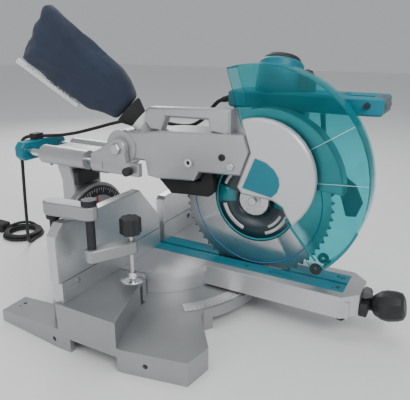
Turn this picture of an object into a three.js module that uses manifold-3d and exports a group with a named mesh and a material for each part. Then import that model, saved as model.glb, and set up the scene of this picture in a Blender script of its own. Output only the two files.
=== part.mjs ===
// Dual-slide compound miter saw for 305 mm blades, head lowered, square and upright.
// Millimetres, +Z up, +X to the right, the operator stands at -Y.
// Everything is drawn from the point where the miter axis, the fence face and the
// table top meet, and the group is lifted onto the bench at the end of the file.
import * as THREE from 'three';
import { mergeVertices } from 'three/addons/utils/BufferGeometryUtils.js';
import Module from 'manifold-3d';

const wasm = await Module();
wasm.setup();

// Overall
const BENCH_Z = -89; // underside of the feet below the table top
const CENTRE_Y = -74; // middle of the saw, front to back
const BASE_HALF_WIDTH = 310;
const GAP = 0.3; // clearance between pieces that touch

// Turntable and base
const TABLE_R = 150;
const TABLE_BOTTOM = -45.7;
const BASE_DECK_Z = -46;
const ARM_HALF_WIDTH = 56;
const NOSE_Y = -431;
const KERF_HALF_WIDTH = 36;
const KERF_DEPTH = 5;
const POLE_X = 38;
const POLE_Z = -28;
const POLE_R = 12;

// Fence
const FENCE_THICKNESS = 22;
const FENCE_TOP = 140.6;
const KNOB_X = 245;

// Bevel arm and upper slide
const RAIL_X = 48;
const RAIL_Z = 176.5;
const RAIL_R = 8.5;
const HOLDER_R = 108;

// Head
const PIVOT = { y: 63, z: 215 };
const BLADE = { y: -214.3, z: 133.3 };
const BLADE_R = 152.5;
const BLADE_TEETH = 60;
const HOOD = { y: -237, z: 164, r: 146 };
const GUARD = { y: -221, z: 180.5, r: 206.5, wall: 2.2 };
const GUARD_FACE_X = 21;
const GUARD_START = 72.5;
const GUARD_END = 229;
const NECK_R = 91.5;
const COVER = { y: -233.5, z: 189.8, r: 106 };

// Dust bag plane: origin, heading and the axis of its mouth
const BAG_ORIGIN = new THREE.Vector3(-18, 50, 0);
const BAG_HEADING = new THREE.Vector3(-0.407, 0.914, 0).normalize();
const BAG_THICKNESS = 50;
const MOUTH = { s: -7, z: 270, ds: 0.741, dz: 0.671 };

// Vise
const POST = { x: -272, y: 38, r: 8 };
const DROP_ROD = { x: -265.5, y: -36, r: 7.5 };
const SCREW = { x: -205.5, y: -71, r: 4 };

// Cord
const CORD_R = 4;
const COIL = { x: 24, y: 478, r: 44, halfWidth: 12, height: 17 };

const RAD = Math.PI / 180;

const metal = (color, roughness, metalness) => ({ color, roughness, metalness });
const CAST = metal(0xb4b8bb, 0.42, 0.75);
const SILVER = metal(0xc3c7c9, 0.35, 0.85);
const STEEL = metal(0xd3d5d6, 0.22, 1);
const CHROME = metal(0xe2e4e5, 0.1, 1);
const TEAL = metal(0x0a7f8c, 0.45, 0);
const TEAL_BOARD = metal(0x117a86, 0.6, 0);
const CLEAR_TEAL = metal(0x1f8f9a, 0.12, 0);
const WHITE = metal(0xdadcdc, 0.4, 0.1);
const BLACK = metal(0x17181a, 0.55, 0);
const DARK_STEEL = metal(0x2b2d30, 0.4, 0.8);
const RUBBER = metal(0x1c1d1f, 0.85, 0);
const GREY_RUBBER = metal(0x6b6f73, 0.8, 0);
const NAVY = metal(0x1f2d55, 0.9, 0);

// ---------------------------------------------------------------- solids

function toSolid(geometry) {
  const plain = geometry.clone();
  for (const name of Object.keys(plain.attributes)) {
    if (name !== 'position') plain.deleteAttribute(name);
  }
  const merged = mergeVertices(plain, 1e-4);
  return new wasm.Manifold(new wasm.Mesh({
    numProp: 3,
    vertProperties: new Float32Array(merged.attributes.position.array),
    triVerts: new Uint32Array(merged.index.array),
  }));
}

function toGeometry(solid) {
  const mesh = solid.getMesh();
  const geometry = new THREE.BufferGeometry();
  geometry.setAttribute('position', new THREE.BufferAttribute(mesh.vertProperties.slice(), 3));
  geometry.setIndex(new THREE.BufferAttribute(mesh.triVerts.slice(), 1));
  return geometry;
}

const join = (...solids) => solids.reduce((a, b) => a.add(b));
const cut = (solid, ...tools) => tools.reduce((a, b) => a.subtract(b), solid);

function shapeOf(points, holes = []) {
  const shape = new THREE.Shape(points.map(([u, v]) => new THREE.Vector2(u, v)));
  for (const hole of holes) {
    shape.holes.push(new THREE.Path(hole.map(([u, v]) => new THREE.Vector2(u, v))));
  }
  return shape;
}

// A prism of an outline in the plane of axes u and v, from `low` to `high` along w = u x v.
function prism(points, low, high, u, v, chamfer = 0, origin = new THREE.Vector3()) {
  const geometry = new THREE.ExtrudeGeometry(shapeOf(points), {
    depth: high - low - 2 * chamfer,
    bevelEnabled: chamfer > 0,
    bevelThickness: chamfer,
    bevelSize: chamfer,
    bevelOffset: -chamfer,
    bevelSegments: 1,
    curveSegments: 1,
  });
  geometry.translate(0, 0, low + chamfer);
  const w = new THREE.Vector3().crossVectors(u, v);
  geometry.applyMatrix4(new THREE.Matrix4().makeBasis(u, v, w).setPosition(origin));
  return toSolid(geometry);
}

const X = new THREE.Vector3(1, 0, 0);
const Y = new THREE.Vector3(0, 1, 0);
const Z = new THREE.Vector3(0, 0, 1);
const prismX = (points, x0, x1, chamfer) => prism(points, x0, x1, Y, Z, chamfer);
const prismZ = (points, z0, z1, chamfer) => prism(points, z0, z1, X, Y, chamfer);
// Outline in x and z; w runs along -Y, so the limits change sign.
const prismY = (points, y0, y1, chamfer) => prism(points, -y1, -y0, X, Z, chamfer);

function box(x0, x1, y0, y1, z0, z1) {
  const geometry = new THREE.BoxGeometry(x1 - x0, y1 - y0, z1 - z0);
  geometry.translate((x0 + x1) / 2, (y0 + y1) / 2, (z0 + z1) / 2);
  return toSolid(geometry);
}

// Turn about the axis that starts at `start` and runs along `direction`; profile of [radius, along].
function lathe(profile, start, direction, segments = 18) {
  const geometry = new THREE.LatheGeometry(
    profile.map(([r, t]) => new THREE.Vector2(r, t)), segments);
  const turn = new THREE.Quaternion().setFromUnitVectors(Y, direction.clone().normalize());
  geometry.applyQuaternion(turn);
  geometry.translate(start.x, start.y, start.z);
  return toSolid(geometry);
}

function rod(from, to, r0, r1 = r0, segments = 14) {
  const a = new THREE.Vector3(...from);
  const direction = new THREE.Vector3(...to).sub(a);
  const length = direction.length();
  return lathe([[0, 0], [r0, 0], [r1, length], [0, length]], a, direction, segments);
}

const rodX = (x0, x1, y, z, r, segments) => rod([x0, y, z], [x1, y, z], r, r, segments);
const rodY = (y0, y1, x, z, r, segments) => rod([x, y0, z], [x, y1, z], r, r, segments);
const rodZ = (z0, z1, x, y, r, segments) => rod([x, y, z0], [x, y, z1], r, r, segments);

function arc(u, v, r, from, to, steps) {
  const points = [];
  for (let i = 0; i <= steps; i++) {
    const a = (from + (to - from) * i / steps) * RAD;
    points.push([u + r * Math.cos(a), v + r * Math.sin(a)]);
  }
  return points;
}

const circle = (u, v, r, steps) => arc(u, v, r, 0, 360 - 360 / steps, steps - 1);
const mirrored = (points) => points.map(([x, y]) => [-x, y]).reverse();

// The outline round two circles and the straight lines that join them.
function link(a, b, ra, rb, steps = 6) {
  const heading = Math.atan2(b[1] - a[1], b[0] - a[0]) / RAD;
  const reach = Math.hypot(b[0] - a[0], b[1] - a[1]);
  const spread = Math.acos((ra - rb) / reach) / RAD;
  return [
    ...arc(a[0], a[1], ra, heading + spread, heading + 360 - spread, steps),
    ...arc(b[0], b[1], rb, heading - spread, heading + spread, steps),
  ];
}

function mirrorX(solid) {
  const geometry = toGeometry(solid);
  geometry.scale(-1, 1, 1);
  const index = geometry.index.array;
  for (let i = 0; i < index.length; i += 3) {
    [index[i], index[i + 1]] = [index[i + 1], index[i]];
  }
  return toSolid(geometry);
}

const hexagon = (u, v, r) => circle(u, v, r, 6);

// ---------------------------------------------------------------- base and fence

function baseCasting() {
  const leftFront = [
    [-BASE_HALF_WIDTH, 14], [-BASE_HALF_WIDTH, -121], [-288, -232], [-235, -240], [-160, -184],
  ];
  const outline = [
    ...leftFront,
    ...arc(0, 0, 228, 232, 308, 10),
    ...mirrored(leftFront),
    ...arc(0, 0, 165, 5, 175, 16),
  ];
  const deck = prismZ(outline, BENCH_Z, BASE_DECK_Z);
  const wingOutline = [
    [-BASE_HALF_WIDTH, 14], [-BASE_HALF_WIDTH, -112], [-200, -75],
    ...arc(0, 0, TABLE_R + 2.3, 200.5, 174.7, 6),
  ];
  const wing = prismZ(wingOutline, BASE_DECK_Z - 1, 0);
  const legPlan = prismZ([[-310, 14], [-296, 173], [-238, 176], [-244, 14]], BENCH_Z, -40);
  const legSide = prismX([[13, BENCH_Z], [177, BENCH_Z], [177, -67.5], [13, -50]], -320, -230);
  const leg = legPlan.intersect(legSide);
  const boss = rodZ(BENCH_Z, -18, POST.x, POST.y, 15, 14);
  const wingPocket = box(-300, -166, -68, 5, BENCH_Z - 1, -10);
  const cornerPocket = prismZ(
    [[-300, -68], [-300, -116], [-280, -222], [-240, -229], [-176, -180], [-176, -68]],
    BENCH_Z - 1, -56);
  const sideArch = box(-312, -298, -112, -12, BENCH_Z - 1, -63);
  const legPocket = prismX([[60, BENCH_Z - 1], [135, BENCH_Z - 1], [135, -76], [60, -68]], -288, -252);
  const postBore = rodZ(-45, 0, POST.x, POST.y, POST.r + 0.4, 14);
  const bolt = rodZ(BENCH_Z - 1, 0, -259, 151.5, 4, 12);
  const screw = rodZ(BENCH_Z - 1, 0, -271, 152, 2.5, 8);
  const rearRodHole = rodX(-330, -300, 26, -74, 4.5, 12);
  const frontRodHole = rodX(-330, -280, -162, -68, 4.5, 12);
  const half = join(wing, leg, boss);
  const halfCuts = join(wingPocket, cornerPocket, sideArch, legPocket, postBore, bolt, screw,
    rearRodHole, frontRodHole);
  const bowl = rodZ(BENCH_Z - 1, -56, 0, 0, 136, 28);
  const frontArch = box(-125, 125, -240, -120, BENCH_Z - 1, -66);
  const rearArch = box(-110, 110, 90, 170, BENCH_Z - 1, -66);
  const pivotBore = rodZ(-60, -40, 0, 0, 14.5, 16);
  return cut(join(deck, half, mirrorX(half)),
    halfCuts, mirrorX(halfCuts), bowl, frontArch, rearArch, pivotBore);
}

function miterScalePlate() {
  const outline = [...arc(0, 0, 222, 223, 317, 14), ...arc(0, 0, 196, 317, 223, 14)];
  return prismZ(outline, BASE_DECK_Z + GAP, BASE_DECK_Z + GAP + 1.2);
}

function fenceFixed() {
  const left = box(-304, -11.5, 0, FENCE_THICKNESS, GAP, 37.7);
  const right = box(5, 304, 0, FENCE_THICKNESS, GAP, 41.7);
  const bridge = prismZ([
    [-172, 21], [-132, 58], [132, 58], [172, 21], [104, 21], [92, 38], [-92, 38], [-104, 21],
  ], 0.5, 30, 2);
  const upright = box(-KNOB_X - 16, -KNOB_X + 16, 20.6, 30, GAP, 78);
  const clampBore = rodY(15, 35, -KNOB_X, 60, 4.4, 12);
  const bolts = [-264.6, -109, 109, 264.6].map((x) => rodY(-1, 9, x, 27.5, 6, 12));
  const windows = [-180, -60, 60, 180].map((x) => box(x - 38, x + 38, 9, 23, 8, 30));
  return cut(join(left, right, bridge, upright, mirrorX(upright)),
    clampBore, mirrorX(clampBore), ...bolts, windows[0], windows[3]);
}

function upperFence(outline, cells) {
  const plate = prismY(outline, 0, 20, 1.2);
  const pockets = cells.map(([x0, x1, z0, z1]) => box(x0, x1, 7, 21, z0, z1));
  return cut(plate, ...pockets);
}

function fenceUpperLeft() {
  return upperFence([
    [-310, 38], [-11.5, 38], [-11.5, 64], [-18.6, 73.7], [-79.5, FENCE_TOP], [-292, FENCE_TOP],
    [-310, 122],
  ], [[-300, -278, 46, 120], [-214, -150, 46, 130], [-140, -90, 46, 124]]);
}

function fenceUpperRight() {
  return upperFence([
    [5, 42], [310, 42], [310, 122], [292, FENCE_TOP], [120, FENCE_TOP], [84, 106], [12, 102],
    [5, 95],
  ], [[278, 300, 50, 120], [150, 214, 50, 130], [96, 140, 50, 110]]);
}

function lobedKnob(radius, depth, lobes, steps) {
  const points = [];
  for (let i = 0; i < lobes * steps; i++) {
    const a = i / (lobes * steps) * 2 * Math.PI;
    const r = radius - depth * (0.5 - 0.5 * Math.cos(lobes * a));
    points.push([r * Math.cos(a), r * Math.sin(a)]);
  }
  return points;
}

function fenceKnob(side) {
  const knob = prism(lobedKnob(14, 3, 3, 5), -50, -31, X, Z, 1.5,
    new THREE.Vector3(side * KNOB_X, 0, 60));
  return knob.add(rodY(22, 34, side * KNOB_X, 60, 4, 12));
}

// ---------------------------------------------------------------- turntable

function turntableCasting() {
  const armOutline = [
    [-ARM_HALF_WIDTH, -120], [-ARM_HALF_WIDTH, -405], [-30, NOSE_Y], [30, NOSE_Y],
    [ARM_HALF_WIDTH, -405], [ARM_HALF_WIDTH, -120],
  ];
  const disc = rodZ(-14, 0, 0, 0, TABLE_R, 40);
  const drum = rodZ(TABLE_BOTTOM, -13, 0, 0, 146, 40);
  const arm = prismZ(armOutline, -42, 0, 1);
  const pin = rodZ(-60, TABLE_BOTTOM + 1, 0, 0, 14, 16);
  const drumPocket = rodZ(TABLE_BOTTOM - 1, -12, 0, 0, 138, 28);
  const armPocket = prismZ([[-48, -100], [-48, -396], [-26, -418], [26, -418], [48, -396], [48, -100]],
    -50, -12);
  const bosses = [-1, 1].map((side) =>
    box(side * POLE_X - 16, side * POLE_X + 16, -118, 141, -43, -11));
  const spine = box(-26, 26, -20, 20, TABLE_BOTTOM, -11);
  const wall = box(-56, 56, -136, -128, -42, -11);
  const frontWall = box(-50, 50, -418, -372, -42, -11);
  const shell = cut(join(disc, drum, arm), drumPocket, armPocket);
  const body = join(shell, ...bosses, spine, wall, frontWall, pin);
  const bores = [-1, 1].map((side) =>
    rodY(-119, 160, side * POLE_X, POLE_Z, POLE_R + 0.5, 16));
  const recess = box(-KERF_HALF_WIDTH - GAP, KERF_HALF_WIDTH + GAP, -402.3, 33.3,
    -KERF_DEPTH - GAP, 1);
  const slot = box(-9, 9, -396, -22, -50, 1);
  const rearFlat = box(-160, 160, 142, 160, -50, 1);
  const groove = cut(rodZ(-2, 1, 0, 0, 55, 22), rodZ(-3, 2, 0, 0, 51, 22),
    box(-60, 60, -60, 34, -4, 2));
  const leverSlot = box(-12, 12, -418, -404, -50, -20);
  const noseBore = gripRoom(-30, 10);
  return cut(body, ...bores, recess, slot, rearFlat, groove, leverSlot, noseBore);
}

function kerfBoard(side) {
  const inner = 3.2;
  const outer = KERF_HALF_WIDTH;
  const plate = side < 0
    ? box(-outer, -inner, -402, 33, -KERF_DEPTH, 0)
    : box(inner, outer, -402, 33, -KERF_DEPTH, 0);
  const screws = [-380, -260, -140, 15].map((y) => rodZ(-2, 1, side * 24, y, 3.6, 10));
  return cut(plate, ...screws);
}

const GRIP_START = new THREE.Vector3(0, -431.4, -33.2);
const GRIP_AXIS = new THREE.Vector3(0, -Math.cos(12 * RAD), Math.sin(12 * RAD));

const gripRoom = (from, to) => lathe([[0, from], [12, from], [12, to], [0, to]],
  GRIP_START, GRIP_AXIS, 20);

function miterGrip() {
  return lathe([
    [0, -4], [10.5, -4], [10.5, 18], [18, 22], [26, 35], [28, 46], [26.5, 62], [23.5, 71],
    [17, 74.7], [0, 74.7],
  ], GRIP_START, GRIP_AXIS, 12);
}

function lockHousing() {
  const outline = [[-30, -41], [30, -41], [30, -24], [24, -19], [-24, -19], [-30, -24]];
  const block = prismY(outline, -446, NOSE_Y - GAP, 1.5);
  return cut(block, gripRoom(-8, 30));
}

function thumbLever() {
  return prismX([
    [-431.6, -16], [-431.6, -3], [-436, 0.5], [-444, -1.5], [-448, -7], [-446, -12], [-438, -16.5],
  ], -10, 10, 1);
}

function lockLever() {
  return prismX([
    [-380, -47], [-386, -45], [-396, -43], [-406, -45], [-413, -53], [-406, -68], [-399, -74],
    [-390, -72], [-388, -58],
  ], -10, 10, 1.5);
}

// ---------------------------------------------------------------- lower slide

function armHolder() {
  const outline = [
    ...arc(0, 0, HOLDER_R, -12, 192, 18), [-88, -44], [88, -44],
  ];
  const plate = prismY(outline, 185, 204, 2);
  const socket = rodY(200, 204.4, 0, 0, 11, 14);
  const poles = [-1, 1].map((side) => rodY(-87, 190, side * POLE_X, POLE_Z, POLE_R, 16));
  return join(cut(plate, rodY(180, 210, 0, 0, 10.4, 14), socket), ...poles);
}

function bevelScale() {
  const outline = [...arc(0, 0, 100, 0, 180, 18), [-60, -4], [60, -4]];
  return cut(prismY(outline, 181.4, 184.7), rodY(180, 186, 0, 0, 20, 14));
}

function bevelPin() {
  return join(rodY(181, 258, 0, 0, 10, 14), rodY(176.5, 181.2, 0, 0, 16, 14));
}

// ---------------------------------------------------------------- bevel arm

function bevelArm() {
  const column = prismY([
    [-45, -38], [-30, -45], [30, -45], [45, -38], [45, 120], [54, 150], [54, 180], [-54, 180],
    [-54, 150], [-45, 120],
  ], 205, 245, 3);
  const web = box(-RAIL_X, RAIL_X, 160, 280, 164, 189);
  const tubes = [-1, 1].map((side) => rodY(155, 285, side * RAIL_X, RAIL_Z, 21, 18));
  const bores = [-1, 1].map((side) => rodY(150, 290, side * RAIL_X, RAIL_Z, RAIL_R + 0.35, 14));
  const pinBore = rodY(200, 250, 0, 0, 10.6, 14);
  const knobBore = rodX(60, 75, 220, RAIL_Z, 4.4, 12);
  const lightening = box(-34, 34, 222, 250, 20, 146);
  return cut(join(column, web, ...tubes), ...bores, pinBore, knobBore, lightening);
}

const armCover = () => prismY([[-48, 113], [23, 113], [23, 142], [16, 149], [-42, 149], [-48, 142]],
  190, 204.6, 2);

function bevelLever() {
  const arm = prism(link([0, 0], [62, 34], 18, 9), -270, -259, X, Z, 1.5);
  return cut(arm, rodY(255, 275, 0, 0, 6, 12));
}

function slideLockKnob() {
  const knob = prism(lobedKnob(13, 2.5, 5, 4), 70, 90, Y, Z, 1.5,
    new THREE.Vector3(0, 220, RAIL_Z));
  return knob.add(rodX(61.5, 72, 220, RAIL_Z, 4, 12));
}

// ---------------------------------------------------------------- upper slide

const rail = (side) => rodY(98, 350, side * RAIL_X, RAIL_Z, RAIL_R, 14);

function rearEndPlate() {
  const outline = [
    [-70, 166], [-60, 155], [60, 155], [70, 166], [70, 187], [60, 198], [-60, 198], [-70, 187],
  ];
  const bores = [-1, 1].map((side) => rodY(330, 350.4, side * RAIL_X, RAIL_Z, RAIL_R + GAP, 14));
  return cut(prismY(outline, 335, 360, 3), ...bores);
}

function cordClip() {
  const block = box(-24, 2, 338, 357, 198.3, 212);
  return cut(block, rod([26, 317, 203.4], [-48, 381, 205.4], 4.8, 4.8, 16));
}

function ear(x0, x1) {
  return prismX([
    ...arc(PIVOT.y, PIVOT.z, 21, 30, 205, 7),
    [40, 188], [10, 188], [10, 162], [132, 162], [132, 198], [104, 212],
  ], x0, x1, 1.5);
}

function carriageBracket() {
  const bosses = [-1, 1].map((side) => rodY(101, 132, side * RAIL_X, RAIL_Z, 22, 18));
  const web = box(-RAIL_X, RAIL_X, 106, 130, 162, 194);
  const leftEar = ear(-68, -54);
  const rightEar = ear(54, 68);
  const pinBore = rodX(-90, 90, PIVOT.y, PIVOT.z, 8.4, 14);
  const railBores = [-1, 1].map((side) => rodY(97.5, 140, side * RAIL_X, RAIL_Z, RAIL_R + GAP, 14));
  const stopPocket = box(-75, -50, 24, 34, 169, 179);
  const lobeRoom = rodX(-53.9, 53.9, PIVOT.y, PIVOT.z, 37.5, 22);
  return cut(join(...bosses, web, leftEar, rightEar), lobeRoom, pinBore, ...railBores, stopPocket);
}

function pivotPin() {
  const shaft = rodX(-68.2, 72, PIVOT.y, PIVOT.z, 8, 14);
  const head = prismX(hexagon(PIVOT.y, PIVOT.z, 12), -75, -68.2, 1);
  const nut = prismX(hexagon(PIVOT.y, PIVOT.z, 12), 68.3, 78, 1);
  return join(shaft, head, nut);
}

const stopPin = () => join(box(-74, -52, 24.4, 33.6, 169.4, 178.6), rodX(-86, -73, 29, 174, 9, 12));

// ---------------------------------------------------------------- head

function guardSector(rIn, rOut, x0, x1, from, to, steps) {
  return prismX([
    ...arc(GUARD.y, GUARD.z, rOut, from, to, steps),
    ...arc(GUARD.y, GUARD.z, rIn, to, from, steps),
  ], x0, x1);
}

const coverOutline = (grow = 0) => [
  [-199 + grow, 285], [-217 + grow, 234], [-193 + grow, 166], [-203, 153 - grow],
  [-263, 150 - grow], [-283, 140 - grow], [-288, 129 - grow], [-303, 108 - grow],
  ...arc(COVER.y, COVER.z, COVER.r + grow, 226, 72, 16),
];

const mouthPoint = (t) => BAG_ORIGIN.clone()
  .addScaledVector(BAG_HEADING, MOUTH.s + MOUTH.ds * t)
  .setZ(MOUTH.z + MOUTH.dz * t);

const mouthAxis = () => mouthPoint(1).sub(mouthPoint(0)).normalize();

function headCasting() {
  const armOutline = [
    [-240, 192], [-180, 188], [-115, 185], [-104, 166], [-22, 160.4], [2, 163], [7, 193],
    ...arc(PIVOT.y, PIVOT.z, 36, -143, 100, 12),
    [27, 248], [-35, 257], [-212, 264], [-240, 262],
  ];
  const arm = prismX(armOutline, -50, 34, 3);
  const lobe = rodX(-53.4, 53.4, PIVOT.y, PIVOT.z, 36, 22);
  const hoodOutline = [
    [-180, 188], [-382, 170.2], ...arc(HOOD.y, HOOD.z, HOOD.r, 175, 70, 14), [-187, 264],
  ];
  const hood = prismX(hoodOutline, -16, 16, 1.5);
  const hub = rodX(-23.9, -10, GUARD.y, GUARD.z, 88, 26);
  const hubTrim = box(-30, -5, -330, -120, 80, 190);
  const handleBar = prismX([
    [-2, 255], [12, 270], [10, 292], [0, 299], [-176, 306], [-176, 262], [-170, 258], [-135, 262],
    [-130, 284], [-36, 282], [-28, 264], [-24, 254],
  ], -40, -12, 4);
  const barTie = prismX([[-172, 262], [-172, 305.8], [-208, 309], [-208, 262]], -15.9, 6, 1);
  const bossLeft = rodX(-56, -49, -97, 202.5, 9.5, 14);
  const portCollar = rod(
    mouthPoint(-44).toArray(), mouthPoint(-16).toArray(), 25, 25, 16);

  const bladeRoom = rodX(-11, 11, BLADE.y, BLADE.z, BLADE_R + 3, 36);
  const hoodRoom = prismX([
    [-190, 175], [-374, 160], ...arc(HOOD.y, HOOD.z, HOOD.r - 5, 174, 74, 14), [-190, 255],
  ], -11, 11);
  const coverRoom = prismX(coverOutline(0.5), -60, -23.95);
  const ringRoom = rodX(16, 60, GUARD.y, GUARD.z, 101, 28);
  const gearRoom = box(23.9, 60, -300, -146, 80, 320);
  const guardRoom = guardSector(96, 215, -60, -16.2, GUARD_START - 2, 140, 14);
  const guardRoomRight = guardSector(96, 215, 16.2, 60, GUARD_START - 2, 140, 14);
  const portBore = rod(mouthPoint(-40).toArray(), mouthPoint(10).toArray(), 20.9, 20.9, 18);
  const pinBore = rodX(-60, 60, PIVOT.y, PIVOT.z, 8.4, 14);
  const bossBore = rodX(-60, -44, -97, 202.5, 5, 12);
  const body = join(
    cut(join(arm, handleBar), coverRoom, ringRoom, gearRoom, guardRoom, guardRoomRight),
    cut(hub, hubTrim), hood, barTie, lobe, bossLeft, portCollar);
  return cut(body, bladeRoom, hoodRoom,
    portBore, pinBore, bossBore);
}

function dustChute() {
  const outline = [
    [-3, 159.8], [-39, 125.5], [-88, 129], [-125, 130.5], [-135, 141], [-137, 163], [-130, 184],
    [-116.5, 184], [-106, 159.8],
  ];
  const body = prismX(outline, -27, 27, 3);
  const slot = box(-7, 7, -140, -40, 100, 190).intersect(rodX(-7, 7, BLADE.y, BLADE.z, 156, 28));
  const ring = rodX(16, 30, GUARD.y, GUARD.z, 101, 26);
  return cut(body, slot, ring);
}

function dustNozzle() {
  const tube = rod(mouthPoint(-39).toArray(), mouthPoint(-0.4).toArray(), 20.5, 20.5, 18);
  return cut(tube, rod(mouthPoint(-30).toArray(), mouthPoint(2).toArray(), 17, 17, 14));
}

const dustCuff = () => lathe([[0, 0], [21, 0], [32, 24], [32, 28], [0, 28]],
  mouthPoint(0), mouthAxis(), 24);

function bagPrism(points, halfThickness, chamfer) {
  return prism(points, -halfThickness, halfThickness, BAG_HEADING, Z, chamfer, BAG_ORIGIN);
}

const dustBag = () => bagPrism([
  [-6.4, 314], [6, 346], [22, 371], [86, 426], [138, 475], [162, 492], [180, 474], [194, 449],
  [212, 408], [229, 387.5], [115, 300.5], [69, 279], [37.2, 267],
], BAG_THICKNESS / 2, 11);

function handleHousing() {
  const outline = [
    [26, -140], [92, -140], [106, -158], [112, -200], [112, -344], [116, -392], [112, -424],
    [96, -424], [96, -356], [90, -350], [52, -350], [46, -356], [46, -424], [32, -424], [26, -400],
  ];
  const body = prismZ(outline, 302, 334, 4);
  const buttonBore = rodX(18, 36, -398, 320, 5.4, 12);
  return cut(body, buttonBore);
}

function handleGrip() {
  const section = [
    [-401, 303], [-398, 308], [-398, 326], [-402, 332], [-414, 334], [-424, 329], [-428, 318],
    [-424, 306], [-414, 301],
  ];
  const bar = prismX(section, 46.3, 95.7);
  return cut(bar, box(53, 89, -409.5, -396, 309, 326));
}

const trigger = () => join(box(54, 88, -403, -397, 310, 325), prismZ(
  [[56, -397.5], [86, -397.5], [84, -391], [71, -389.5], [58, -391]], 310.5, 324.5));

const lockOffButton = () => rodX(20, 31, -398, 320, 5, 12);

const MOTOR_FOOT = new THREE.Vector3(67, -221, 318);
const MOTOR_AXIS = new THREE.Vector3(Math.sin(20 * RAD), 0, Math.cos(20 * RAD));

function motorBarrel() {
  const barrel = lathe([[0, 0], [43, 0], [43, 66], [40, 70], [0, 70]], MOTOR_FOOT, MOTOR_AXIS, 24);
  const foot = box(0, 160, -280, -160, 280, 334.3);
  return cut(barrel, foot);
}

function motorCap() {
  const profile = [[0, 70.3], [37, 70.3], [37, 74], [32, 80], [12, 81], [0, 81]];
  return lathe(profile, MOTOR_FOOT, MOTOR_AXIS, 22);
}

const brushCover = () => prismX([
  [-268, 334.3], [-268, 368], [-272, 373], [-281, 370], [-287, 358], [-290, 334.3],
], 52, 98, 3);

function gearHousing() {
  const body = prismX([
    ...arc(BLADE.y, BLADE.z, 38, 190, 350, 10), [-168, 160], [-152, 236], [-150, 301.7],
    [-292, 301.7], [-288, 240], [-262, 170],
  ], 24.4, 60, 4);
  const neck = rodX(16.3, 30, GUARD.y, GUARD.z, NECK_R, 26);
  const bearing = rodX(16.3, 25.6, BLADE.y, BLADE.z, 8.5, 14);
  const lockBore = rodX(50, 62, -190, 200, 7.4, 12);
  return cut(join(body, neck), bearing, lockBore);
}

const shaftLock = () => rodX(54.5, 66, -190, 200, 7, 12);

const centreCover = () => prismX(coverOutline(), -44, -24.3, 4);

function workLamp() {
  const head = prismX([
    [-360, 176], [-376, 188], [-392, 178], [-407, 146], [-398, 120], [-380, 118],
  ], 29.5, 44, 3);
  return join(head, rod([36, -322, 300.8], [36, -327, 262], 5, 4, 12),
    rod([36, -327, 266], [36, -378, 180], 4, 4, 12));
}

const strainRelief = () => rod([60, -137.8, 317], [62, -110, 310], 8, 5.5, 16);

// ---------------------------------------------------------------- blade

function sawBlade() {
  const points = [];
  for (let i = 0; i < BLADE_TEETH; i++) {
    const a = i / BLADE_TEETH * 360;
    for (const [turn, r] of [[0, BLADE_R], [2.2, 145.4]]) {
      const t = (a + turn) * RAD;
      points.push([BLADE.y + r * Math.cos(t), BLADE.z + r * Math.sin(t)]);
    }
  }
  return cut(prismX(points, -1.3, 1.3), rodX(-3, 3, BLADE.y, BLADE.z, 12.9, 14));
}

const spindle = () => join(rodX(-8.6, 25, BLADE.y, BLADE.z, 8, 14),
  rodX(1.6, 7.6, BLADE.y, BLADE.z, 30, 18), rodX(-1.1, 2, BLADE.y, BLADE.z, 12.5, 14));

const arborBolt = () => cut(join(
  rodX(-7.6, -1.6, BLADE.y, BLADE.z, 30, 18),
  rodX(-11, -7, BLADE.y, BLADE.z, 14, 14),
  prismX(hexagon(BLADE.y, BLADE.z, 9.2), -17.5, -10.5, 1),
), rodX(-9, 0, BLADE.y, BLADE.z, 8.4, 14));

// ---------------------------------------------------------------- lower guard

const ROLLER = { y: -348, z: 29, r: 11 };

function lowerGuard() {
  const outer = GUARD_FACE_X + GUARD.wall;
  const shell = guardSector(98, GUARD.r, -outer, outer, GUARD_START, GUARD_END, 22);
  const inside = rodX(-GUARD_FACE_X, GUARD_FACE_X, GUARD.y, GUARD.z, GUARD.r - GUARD.wall, 44);
  const ring = cut(rodX(GUARD_FACE_X, outer, GUARD.y, GUARD.z, 99, 26),
    rodX(GUARD_FACE_X - 2, outer + 2, GUARD.y, GUARD.z, NECK_R + 0.9, 26));
  const lugs = [[-outer, -GUARD_FACE_X], [GUARD_FACE_X, outer]].map(([x0, x1]) =>
    prismX(link([ROLLER.y, ROLLER.z], [-338, 44], 9, 11, 6), x0, x1));
  const pins = [[-28.4, 1 - outer], [outer - 1, 28.4]].map(([x0, x1]) =>
    rodX(x0, x1, ROLLER.y, ROLLER.z, 3, 10));
  return join(cut(shell, inside), ring, ...lugs, ...pins);
}

function guardRoller(side) {
  const near = side < 0 ? -28.4 : 23.7;
  const far = side < 0 ? -23.7 : 28.4;
  return cut(rodX(near, far, ROLLER.y, ROLLER.z, ROLLER.r, 14),
    rodX(near - 1, far + 1, ROLLER.y, ROLLER.z, 3.4, 12));
}

// ---------------------------------------------------------------- vise

const visePost = () => join(rodZ(-44.6, 164, POST.x, POST.y, POST.r, 14),
  rodZ(138, 146, POST.x, POST.y, 13, 14));

function viseArmUpper() {
  const outline = link([POST.x, POST.y], [DROP_ROD.x, DROP_ROD.y], 16, 14);
  return cut(prismZ(outline, 146.3, 170, 2),
    rodZ(140, 164.4, POST.x, POST.y, POST.r + 0.4, 14),
    rodZ(140, 180, DROP_ROD.x, DROP_ROD.y, DROP_ROD.r + 0.4, 14));
}

function viseArmLower() {
  const outline = link([DROP_ROD.x, DROP_ROD.y], [SCREW.x, SCREW.y], 13, 11);
  const arm = cut(prismZ(outline, 71, 94, 2), rodZ(60, 100, SCREW.x, SCREW.y, SCREW.r + 0.5, 12));
  return join(arm, rodZ(80, 171, DROP_ROD.x, DROP_ROD.y, DROP_ROD.r, 14),
    rodZ(170.3, 180, DROP_ROD.x, DROP_ROD.y, 13, 14));
}

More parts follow.
